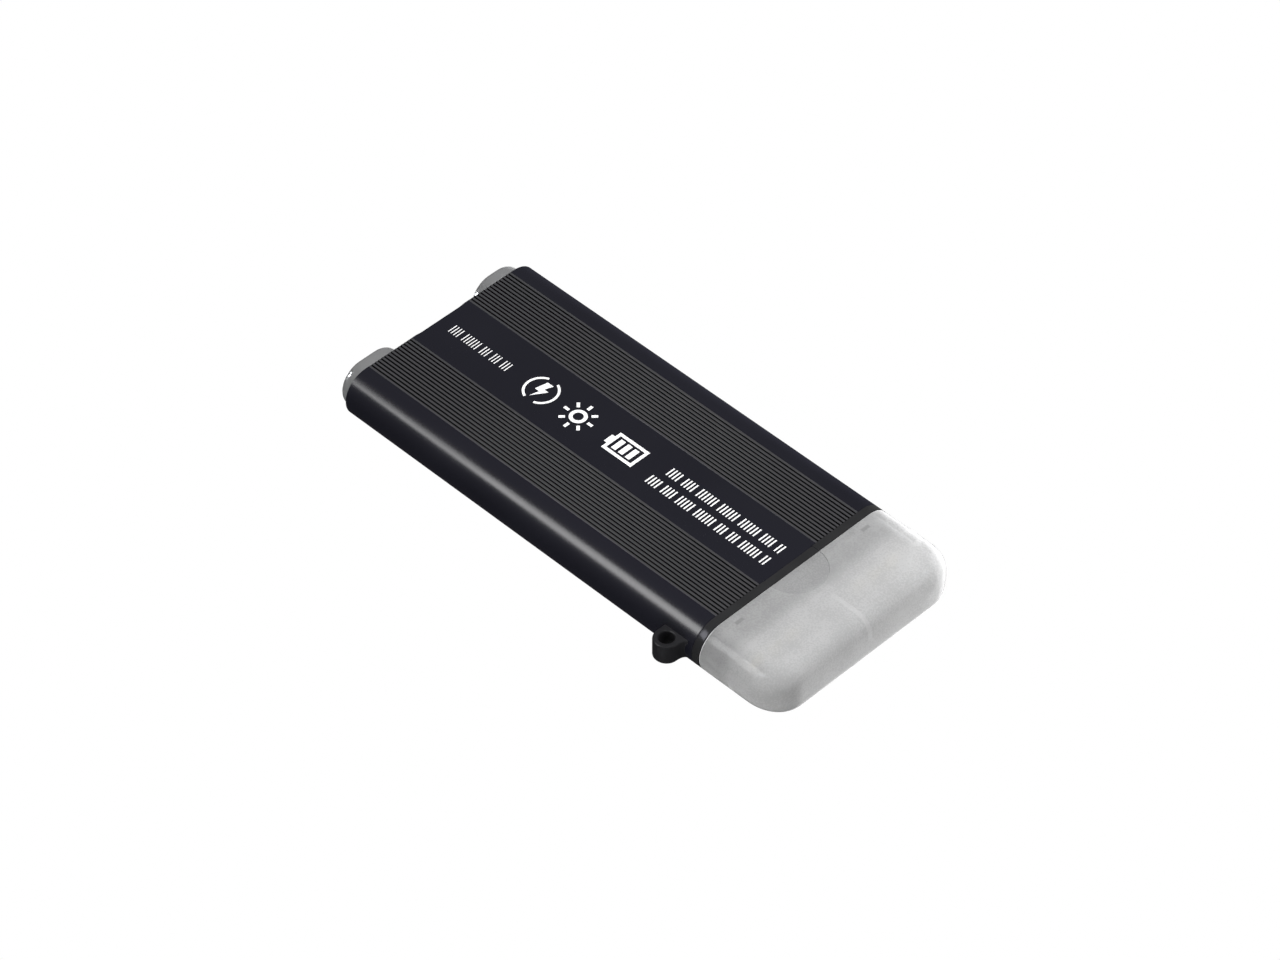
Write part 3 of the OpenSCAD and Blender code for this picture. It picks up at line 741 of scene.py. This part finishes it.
def make_cap(material):
    """The cap's shell, with the thumb recess and four reliefs for the collar's snap bumps."""
    lip, soft, flare = 0.18 * MM, 0.05 * MM, 0.03 * MM
    bm = bmesh.new()
    outer = cap_shell(bm, 0.0, CAP_X, lip)
    inner = cap_shell(bm, CAP_WALL, CAP_X, 0.0)
    bridge(bm, outer, inner)
    floor_z = THICK - RECESS_D
    thumb = turned([(0, floor_z), (RECESS_HALF - soft, floor_z), (RECESS_HALF, floor_z + soft),
                    (RECESS_HALF + flare, THICK + MM), (0, THICK + MM)], (COLLAR_X, 0.0), 128)
    tools = [("DIFFERENCE", thumb)]
    relief_half, relief_d, relief_l = 1.15 * MM, 0.5 * MM, 2.5 * MM
    for face in (-1, 1):
        for side in (-1, 1):
            z = MID_Z + face * (MID_Z - CAP_WALL)
            tools.append(("DIFFERENCE", block(
                (CAP_X - MM, side * BUMP_Y - relief_half, z - relief_d),
                (CAP_X + relief_l, side * BUMP_Y + relief_half, z + relief_d))))
    obj = carve(to_object("cap_moulding", bm), tools)
    mark_outer_faces(obj.data)
    return settle(obj, material, "cap", "frosted_cap", angle=28)


def mark_outer_faces(mesh):
    """Stores 1 on the faces that look away from the cap's middle plate, and 0 on those inside."""
    outer = mesh.attributes.new("outer", "FLOAT", "FACE")
    reach_y, reach_x = HALF_W - CAP_CORNER_R, CAP_END_X - CAP_CORNER_R
    tiny = 0.0002 * MM
    for face, value in zip(mesh.polygons, outer.data):
        c = face.center
        core = Vector((min(c.x, reach_x), max(-reach_y, min(reach_y, c.y)), MID_Z))
        value.value = 1.0 if face.normal.dot(c - core) > tiny else 0.0


def make_cap_rib(material):
    """Thin rib round the inside of the cap's hollow, on the centre line."""
    half_t, depth, sink = 0.3 * MM, 0.4 * MM, 0.02 * MM
    r = CAP_EDGE_R - CAP_WALL
    x_start, x_end = SPIGOT_X + 0.6 * MM, CAP_END_X - CAP_WALL
    z_top, z_low = THICK - CAP_WALL, CAP_WALL
    steps = 8
    # ((x, z), outward direction) along the hollow's wall, over the top, round the end and back below
    path = [((x_start, z_top), (0, 1))]
    for corner_z, start in ((z_top - r, 90), (z_low + r, 0)):
        for k in range(steps + 1):
            a = math.radians(start - 90 * k / steps)
            path.append(((x_end - r + r * math.cos(a), corner_z + r * math.sin(a)),
                         (math.cos(a), math.sin(a))))
    path.append(((x_start, z_low), (0, -1)))
    bm = bmesh.new()
    rings = []
    for (x, z), (nx, nz) in path:
        rings.append([bm.verts.new((x + nx * d, y, z + nz * d)) for d, y in (
            (sink, -half_t), (sink, half_t), (-depth, half_t), (-depth, -half_t))])
    loft(bm, rings)
    return settle(to_object("cap_rib", bm), material, "cap")


# ---------------------------------------------------------------- lenses and end plate
def make_lens(name, material):
    """A lens with a soft front edge, a slightly domed face, and its plug behind."""
    low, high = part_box(name)
    y = (low.y + high.y) / 2
    half_w, half_h = (high.y - low.y) / 2, (high.z - low.z) / 2
    front_x = low.x
    edge_r, dome, middle = 1.0 * MM, 0.35 * MM, 0.3 * MM
    outline = stadium(half_w, half_h, 32)
    plug = stadium(LENS_PLUG_HALF_W, LENS_PLUG_HALF_H, 32)
    dome_steps = 8
    bm = bmesh.new()
    rings = []
    for k in range(1, dome_steps):
        inset = half_h - middle - (half_h - middle - edge_r) * k / dome_steps
        rise = dome * (1 - ((half_h - inset) / (half_h - edge_r)) ** 2)
        rings.append(ring(bm, shrink(outline, inset), front_x + dome - rise, y))
    for d, s in edge_round(edge_r, 8):
        rings.append(ring(bm, shrink(outline, s), front_x + dome + d, y))
    rings.append(ring(bm, outline, END_X, y))
    rings.append(ring(bm, plug, END_X, y))
    rings.append(ring(bm, plug, high.x, y))
    loft(bm, rings)
    return settle(to_object(name + "_optic", bm), material, "housing", name)


def make_end_plate(material):
    """The plate between the lenses, with a window for each lens plug and a sunk middle field."""
    outline = stadium(PLATE_HI.y, (PLATE_HI.z - PLATE_LO.z) / 2)
    window = stadium(LENS_PLUG_HALF_W + FIT, LENS_PLUG_HALF_H + FIT)
    edge_r, field_d = 0.12 * MM, 0.25 * MM
    obj = to_object("end_bezel", bar(outline, END_X, PLATE_HI.x, edge_r, edge_r))
    y = (LENS_LO.y + LENS_HI.y) / 2
    tools = [("DIFFERENCE", bar(window, END_X - MM, PLATE_HI.x + MM, shift_y=s * y)) for s in (-1, 1)]
    field = bar(stadium(5.6 * MM, 1.9 * MM), END_X - MM, END_X + field_d)
    tools.append(("DIFFERENCE", field))
    return settle(carve(obj, tools), material, "housing", "end_plate")


# ---------------------------------------------------------------- lug
def lug_outline(eye, r, root_y):
    """The lug in plan: a ring's outer edge round the eye, and a root that flares towards the collar."""
    gusset_x = SEAM_X - MM
    round_steps, flare_steps = 32, 8
    outline = [(eye.x - r, root_y), (eye.x - r, eye.y)]
    for k in range(1, round_steps + 1):
        a = math.pi + math.pi * k / round_steps
        outline.append((eye.x + r * math.cos(a), eye.y + r * math.sin(a)))
    flare_w, flare_h = gusset_x - eye.x - r, root_y - 0.7 * MM - eye.y
    for k in range(1, flare_steps + 1):
        a = math.pi / 2 * k / flare_steps
        outline.append((gusset_x - flare_w * math.cos(a), eye.y + flare_h * math.sin(a)))
    outline.append((gusset_x, root_y))
    return outline


def lug_hole(eye):
    """The tool that cuts the lug's eye, wider at both ends to ease its rims."""
    eye_r, lip, far = 1.2 * MM, 0.2 * MM, MM
    wide = eye_r + lip + FIT
    mouth = [(wide, LUG_HALF_H + FIT), (eye_r + 0.06 * MM, LUG_HALF_H - 0.08 * MM),
             (eye_r, LUG_HALF_H - lip)]
    profile = [(0, -LUG_HALF_H - far), (wide, -LUG_HALF_H - far)]
    profile += [(r, -z) for r, z in mouth] + mouth[::-1]
    profile += [(wide, LUG_HALF_H + far), (0, LUG_HALF_H + far)]
    return turned([(r, MID_Z + z) for r, z in profile], eye, 64)


def make_lug(material):
    """Ring with a flared root, its edges rounded, and the neck and foot that hold it in the sleeve."""
    eye = Vector((SEAM_X - 3.8 * MM, -HALF_W - 1.3 * MM))
    root_y = -HALF_W + 0.9 * MM
    outline = lug_outline(eye, 2.1 * MM, root_y)
    soft = edge_round(0.28 * MM)
    low = [(-LUG_HALF_H + d, s) for d, s in soft]
    high = [(LUG_HALF_H - d, s) for d, s in soft]
    bm = bmesh.new()
    rings = []
    for z, s in sorted(low) + sorted(high):
        rings.append([bm.verts.new((x, y, MID_Z + z)) for x, y in shrink(outline, s)])
    loft(bm, rings)
    neck_half_h = LUG_HALF_H - FIT
    neck = block((LUG_LO.x + LUG_FOOT_REACH, root_y - 0.3 * MM, MID_Z - neck_half_h),
                 (LUG_HI.x - LUG_FOOT_REACH, -SIDE_C - 1.5 * MM, MID_Z + neck_half_h))
    foot = block((LUG_LO.x, -SIDE_C - 2.1 * MM, MID_Z - LUG_FOOT_HALF_H),
                 (LUG_HI.x, -SIDE_C - 1.6 * MM, MID_Z + LUG_FOOT_HALF_H))
    tools = [("DIFFERENCE", lug_hole(eye)), ("UNION", neck), ("UNION", foot)]
    return settle(carve(to_object("lug_moulding", bm), tools),
                  material, "housing", "lanyard_lug")


# ---------------------------------------------------------------- underside controls
def make_button(material):
    """Rubber button: soft edge, a shallow dish and a fine ring in its face, and its hidden flange."""
    centre = ((BUTTON_LO.x + BUTTON_HI.x) / 2, 0.0)
    z0, r = BUTTON_LO.z, 2.5 * MM
    flange_z, flange_top = 0.85 * MM, 1.25 * MM
    flange_r, stem_r = 3.1 * MM, 1.25 * MM
    # from the dish's middle, over the fine ring, to the soft edge
    profile = [(0, z0 + 0.1 * MM), (0.9 * MM, z0 + 0.08 * MM), (1.5 * MM, z0 + 0.04 * MM),
               (1.6 * MM, z0 + 0.1 * MM), (1.7 * MM, z0 + 0.03 * MM)]
    profile += [(r - s, z0 + d) for d, s in edge_round(0.25 * MM, 5)]
    profile += [(r, flange_z), (flange_r, flange_z), (flange_r, flange_top), (stem_r, flange_top),
                (stem_r, BUTTON_HI.z), (0, BUTTON_HI.z)]
    obj = to_object("button_moulding", turned(profile, centre))
    return settle(obj, material, "button", "power_button")


def make_light_pipe(material):
    """The charge light's window: a slightly domed face, and a flange inside the sleeve."""
    centre = ((PIPE_LO.x + PIPE_HI.x) / 2, (PIPE_LO.y + PIPE_HI.y) / 2)
    z0, r, flange_r = PIPE_LO.z, 0.75 * MM, MM
    flange_z, flange_top = 0.85 * MM, 1.25 * MM
    profile = [(0, z0), (0.4 * MM, z0 + 0.02 * MM)]
    profile += [(r - s, z0 + 0.04 * MM + d) for d, s in edge_round(0.15 * MM)]
    profile += [(r, flange_z), (flange_r, flange_z), (flange_r, flange_top), (r, flange_top),
                (r, PIPE_HI.z), (0, PIPE_HI.z)]
    obj = to_object("indicator_pipe", turned(profile, centre, 40))
    return settle(obj, material, "housing", "light_pipe")


# ---------------------------------------------------------------- printed marks
def bars(bm, x0, y0, width, height, z0, z1):
    """A flat upright box, by its lower left corner in plan and its size."""
    prism(bm, [(x0, y0), (x0 + width, y0), (x0 + width, y0 + height), (x0, y0 + height)], z0, z1)


def band(bm, centre, r_out, r_in, start, stop, z0, z1):
    """A flat ring or arc, from the start to the stop angle in degrees."""
    steps = 48
    full = abs(stop - start) >= 360
    angles = [math.radians(start + (stop - start) * i / steps) for i in range(steps + (0 if full else 1))]
    rows = [[bm.verts.new((centre[0] + r * math.cos(a), centre[1] + r * math.sin(a), z)) for a in angles]
            for r, z in ((r_out, z0), (r_out, z1), (r_in, z1), (r_in, z0))]
    count = len(angles)
    for a, b in zip(rows, rows[1:] + rows[:1]):
        for i in range(count if full else count - 1):
            j = (i + 1) % count
            bm.faces.new((a[i], a[j], b[j], b[i]))
    if not full:
        bm.faces.new([row[0] for row in rows])
        bm.faces.new([row[-1] for row in rows])


def tick_row(bm, rng, x0, x1, y0, pitch, stroke, z0, z1):
    """A row of equal upright ticks in groups, standing for a line of small print."""
    height = 1.85 * MM
    x = x0
    while x < x1:
        for _ in range(rng.choice((3, 4, 5, 6))):
            bars(bm, x, y0, stroke, height, z0, z1)
            x += pitch
            if x > x1:
                return
        x += pitch


def make_marks(material):
    """White marks in the centre recess: two rows of ticks, three plain pictograms, one finer row."""
    sunk, proud = 0.005 * MM, 0.02 * MM
    pitch, stroke = 0.62 * MM, 0.24 * MM
    fine_pitch, fine_stroke = 0.56 * MM, 0.15 * MM
    z0 = THICK - RECESS_D - sunk
    z1 = THICK - RECESS_D + proud
    rng = random.Random(3)
    bm = bmesh.new()
    tick_row(bm, rng, 10.1 * MM, 34.3 * MM, -2.7 * MM, pitch, stroke, z0, z1)
    tick_row(bm, rng, 11.3 * MM, 34.3 * MM, 0.5 * MM, pitch, stroke, z0, z1)
    tick_row(bm, rng, -34.2 * MM, -21.6 * MM, -1.0 * MM, fine_pitch, fine_stroke, z0, z1)
    battery_mark(bm, 3.4 * MM, z0, z1)
    sun_mark(bm, (-6.7 * MM, 0.0), z0, z1)
    bolt_mark(bm, (-14.7 * MM, 0.0), z0, z1)
    obj = to_object("face_marks", bm)
    return settle(obj, material, "housing")


def battery_mark(bm, x, z0, z1):
    """Outline of a battery lying along X, with three charge bars."""
    half_l, half_h, line = 3.1 * MM, 2.1 * MM, 0.55 * MM
    pole_l, pole_half = 0.6 * MM, 0.9 * MM
    first_bar, bar_pitch, bar_w, bar_half = 1.95 * MM, 1.45 * MM, 0.9 * MM, 1.15 * MM
    bars(bm, x - half_l, -half_h, 2 * half_l, line, z0, z1)
    bars(bm, x - half_l, half_h - line, 2 * half_l, line, z0, z1)
    for end in (-half_l, half_l - line):
        bars(bm, x + end, -half_h + line, line, 2 * (half_h - line), z0, z1)
    bars(bm, x - half_l - pole_l, -pole_half, pole_l, 2 * pole_half, z0, z1)
    for k in range(3):
        bars(bm, x - first_bar + k * bar_pitch, -bar_half, bar_w, 2 * bar_half, z0, z1)


def sun_mark(bm, centre, z0, z1):
    """A ring with eight short rays."""
    ray_half_w, ray_start, ray_end = 0.26 * MM, 2 * MM, 3 * MM
    band(bm, centre, 1.45 * MM, 0.85 * MM, 0, 360, z0, z1)
    for k in range(8):
        a = math.radians(45 * k)
        along = Vector((math.cos(a), math.sin(a)))
        across = Vector((-along.y, along.x)) * ray_half_w
        near, far = Vector(centre) + along * ray_start, Vector(centre) + along * ray_end
        prism(bm, [near - across, far - across, far + across, near + across], z0, z1)


def bolt_mark(bm, centre, z0, z1):
    """A plain zigzag bolt inside a broken ring."""
    shape = [(-0.5, 1.9), (0.75, 1.9), (0.2, 0.45), (1.1, 0.45),
             (-0.55, -2.0), (-0.1, -0.35), (-1.0, -0.35)]
    prism(bm, [(centre[0] + x * MM, centre[1] + y * MM) for x, y in shape], z0, z1)
    for start in (-70, 110):
        band(bm, centre, 2.95 * MM, 2.55 * MM, start, start + 140, z0, z1)


# ---------------------------------------------------------------- inner CAD nodes
def dress(nodes, material, bevel=0.0):
    """Material, smooth rounds and small edge rounding on CAD nodes that keep their own mesh."""
    for name in nodes:
        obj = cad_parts[name]
        obj.data.materials.clear()
        obj.data.materials.append(material)
        weld = obj.modifiers.new("weld", "WELD")
        weld.merge_threshold = 1e-6
        if bevel:
            edge = obj.modifiers.new("edge", "BEVEL")
            edge.width = bevel
            edge.segments = 2
            edge.limit_method = "ANGLE"
            edge.angle_limit = math.radians(40)


def dress_inner_nodes():
    """A material for every CAD piece that is only seen with the cap off or the light open."""
    green = board_material("green_board", (0.012, 0.11, 0.045, 1), (0.03, 0.2, 0.08, 1))
    white = board_material("white_board", (0.78, 0.78, 0.76, 1), (0.7, 0.7, 0.68, 1))
    black = moulded("package_black", (0.02, 0.02, 0.022, 1), 0.45)
    steel = metal("plated_steel", (0.55, 0.55, 0.57, 1), 0.25)
    mirror = metal("mirror_metal", (0.85, 0.85, 0.86, 1), 0.08)
    led = phosphor_material()
    pale = wire_material("pale_insulation", (0.75, 0.75, 0.7, 1))
    small = 0.06 * MM
    dress(["torch_board", "protection_board", "main_board"], green, small)
    dress(["lantern_board"], white, small)
    dress(["usb_tongue", "inductor", "charge_chip", "switch_plunger"], black, small)
    dress(["usb_shell"], steel)
    dress(["switch_body"], steel, small)
    dress(["torch_led_left", "torch_led_right", "lantern_leds", "indicator_led"], led, small)
    dress(["torch_reflector_left", "torch_reflector_right"], mirror)
    dress(["cell_tray"], moulded("tray_plastic", (0.03, 0.03, 0.033, 1), 0.55))
    dress(["pouch_cell"], foil_material())
    dress(["cell_tab_positive"], metal("aluminium_tab", (0.8, 0.8, 0.82, 1), 0.3))
    dress(["cell_tab_negative"], metal("nickel_tab", (0.6, 0.57, 0.52, 1), 0.3))
    dress(["cell_tape"], tape_material())
    dress(["foam_pad"], foam_material())
    dress(["board_capacitors"], moulded("ceramic_tan", (0.3, 0.18, 0.09, 1), 0.4), small)
    dress(["wire_positive"], wire_material("red_insulation", (0.5, 0.03, 0.02, 1)))
    dress(["wire_negative"], wire_material("black_insulation", (0.02, 0.02, 0.02, 1)))
    dress(["led_wire_left", "led_wire_right"], pale)


# ---------------------------------------------------------------- camera and light
def make_camera():
    """The view from the cap end and the near side, 45 degrees round and 45 degrees up."""
    azimuth = elevation = math.radians(45)
    back = Vector((math.sin(azimuth) * math.cos(elevation), -math.cos(azimuth) * math.cos(elevation),
                   math.sin(elevation)))
    camera = bpy.data.objects.new("camera", bpy.data.cameras.new("camera"))
    bpy.context.scene.collection.objects.link(camera)
    camera.location = CAMERA_TARGET + back * CAMERA_DISTANCE
    camera.rotation_mode = "QUATERNION"
    camera.rotation_quaternion = (-back).to_track_quat("-Z", "Y")
    camera.data.sensor_width = CAMERA_SENSOR_MM
    camera.data.lens = CAMERA_LENS_MM
    camera.data.clip_start = 0.01
    camera.data.clip_end = 20
    bpy.context.scene.camera = camera


def area_light(name, direction, distance, size, power, glossy=True, diffuse=True):
    """A soft rectangular light, placed from the object's middle along a direction."""
    lamp = bpy.data.lights.new(name, "AREA")
    lamp.shape = "RECTANGLE"
    lamp.size, lamp.size_y = size
    lamp.energy = power
    obj = bpy.data.objects.new(name, lamp)
    bpy.context.scene.collection.objects.link(obj)
    way = Vector(direction).normalized()
    obj.location = LIGHTS_AIM + way * distance
    obj.rotation_mode = "QUATERNION"
    obj.rotation_quaternion = way.to_track_quat("Z", "Y")
    obj.visible_glossy = glossy
    obj.visible_diffuse = diffuse
    obj.visible_transmission = diffuse


def make_lights():
    """Each light's direction from the object, its distance and size in metres, and its watts.

    Only the streak and the spark show as reflections. The spark lights nothing else.
    """
    panel = (0.5, 0.3)
    area_light("streak", (-0.33, -0.59, 0.67), 0.7, (0.36, 0.30), 1.5)
    area_light("key", (0.22, 0.25, 0.93), 0.8, (0.4, 0.4), 7.2, glossy=False)
    area_light("spark", (0.4, -0.25, 0.9), 0.7, (0.03, 0.03), 0.15, diffuse=False)
    area_light("back_glow", (0.1, 0.95, -0.28), 0.7, panel, 21, glossy=False)
    area_light("end_glow", (0.95, -0.1, -0.12), 0.7, panel, 0.6, glossy=False)
    area_light("floor_bounce", (0.2, -0.8, -0.4), 0.7, panel, 3.2, glossy=False)


def make_floor():
    """A plain white floor without shadows, open to a look from below."""
    bm = bmesh.new()
    corners = ((-1, -1), (1, -1), (1, 1), (-1, 1))
    bm.faces.new([bm.verts.new((FLOOR_HALF * x, FLOOR_HALF * y, FLOOR_Z)) for x, y in corners])
    floor = to_object("floor", bm)
    n = Nodes("floor_white")
    white = n.add("ShaderNodeEmission", {"Strength": 1.0}).outputs[0]
    gone = n.add("ShaderNodeBsdfTransparent").outputs[0]
    underside = n.add("ShaderNodeNewGeometry").outputs["Backfacing"]
    floor.data.materials.append(n.finish(n.mix_shader(underside, white, gone)))
    for sight in ("diffuse", "glossy", "transmission", "shadow"):
        setattr(floor, "visible_" + sight, False)


def make_world():
    """White as a backdrop, and a dim studio, darker below, for everything else."""
    dark_level, pale_level = 0.024, 0.1
    dark_height, pale_height = -0.6, 1.0
    world = bpy.data.worlds.new("studio")
    bpy.context.scene.world = world
    world.use_nodes = True
    tree = world.node_tree
    tree.nodes.clear()
    where = tree.nodes.new("ShaderNodeTexCoord")
    split = tree.nodes.new("ShaderNodeSeparateXYZ")
    height = tree.nodes.new("ShaderNodeMapRange")
    rays = tree.nodes.new("ShaderNodeLightPath")
    pick = tree.nodes.new("ShaderNodeMix")
    background = tree.nodes.new("ShaderNodeBackground")
    out = tree.nodes.new("ShaderNodeOutputWorld")
    height.inputs["From Min"].default_value = dark_height
    height.inputs["From Max"].default_value = pale_height
    height.inputs["To Min"].default_value = dark_level
    height.inputs["To Max"].default_value = pale_level
    pick.inputs["B"].default_value = 1.0
    background.inputs["Color"].default_value = (1, 1, 1, 1)
    tree.links.new(where.outputs["Generated"], split.inputs[0])
    tree.links.new(split.outputs["Z"], height.inputs["Value"])
    tree.links.new(height.outputs[0], pick.inputs["A"])
    tree.links.new(rays.outputs["Is Camera Ray"], pick.inputs["Factor"])
    tree.links.new(pick.outputs["Result"], background.inputs["Strength"])
    tree.links.new(background.outputs[0], out.inputs["Surface"])
    bpy.context.scene.view_settings.view_transform = "Standard"


# ---------------------------------------------------------------- build
make_camera()
make_world()
make_lights()
make_floor()
frosted = frosted_material()
lens_plastic = lens_material()
make_sleeve(anodised_material())
make_collar(moulded("collar_plastic", (0.027, 0.027, 0.028, 1), 0.22, (0.88, 0.88, 1, 1)))
make_cap(frosted)
make_cap_rib(frosted)
make_lens("lens_left", lens_plastic)
make_lens("lens_right", lens_plastic)
make_end_plate(moulded("bezel_plastic", (0.014, 0.014, 0.016, 1), 0.42))
make_lug(moulded("lug_plastic", (0.018, 0.018, 0.02, 1), 0.4))
make_button(moulded("button_rubber", (0.03, 0.03, 0.032, 1), 0.6))
make_light_pipe(clear_material())
make_marks(print_material())
dress_inner_nodes()
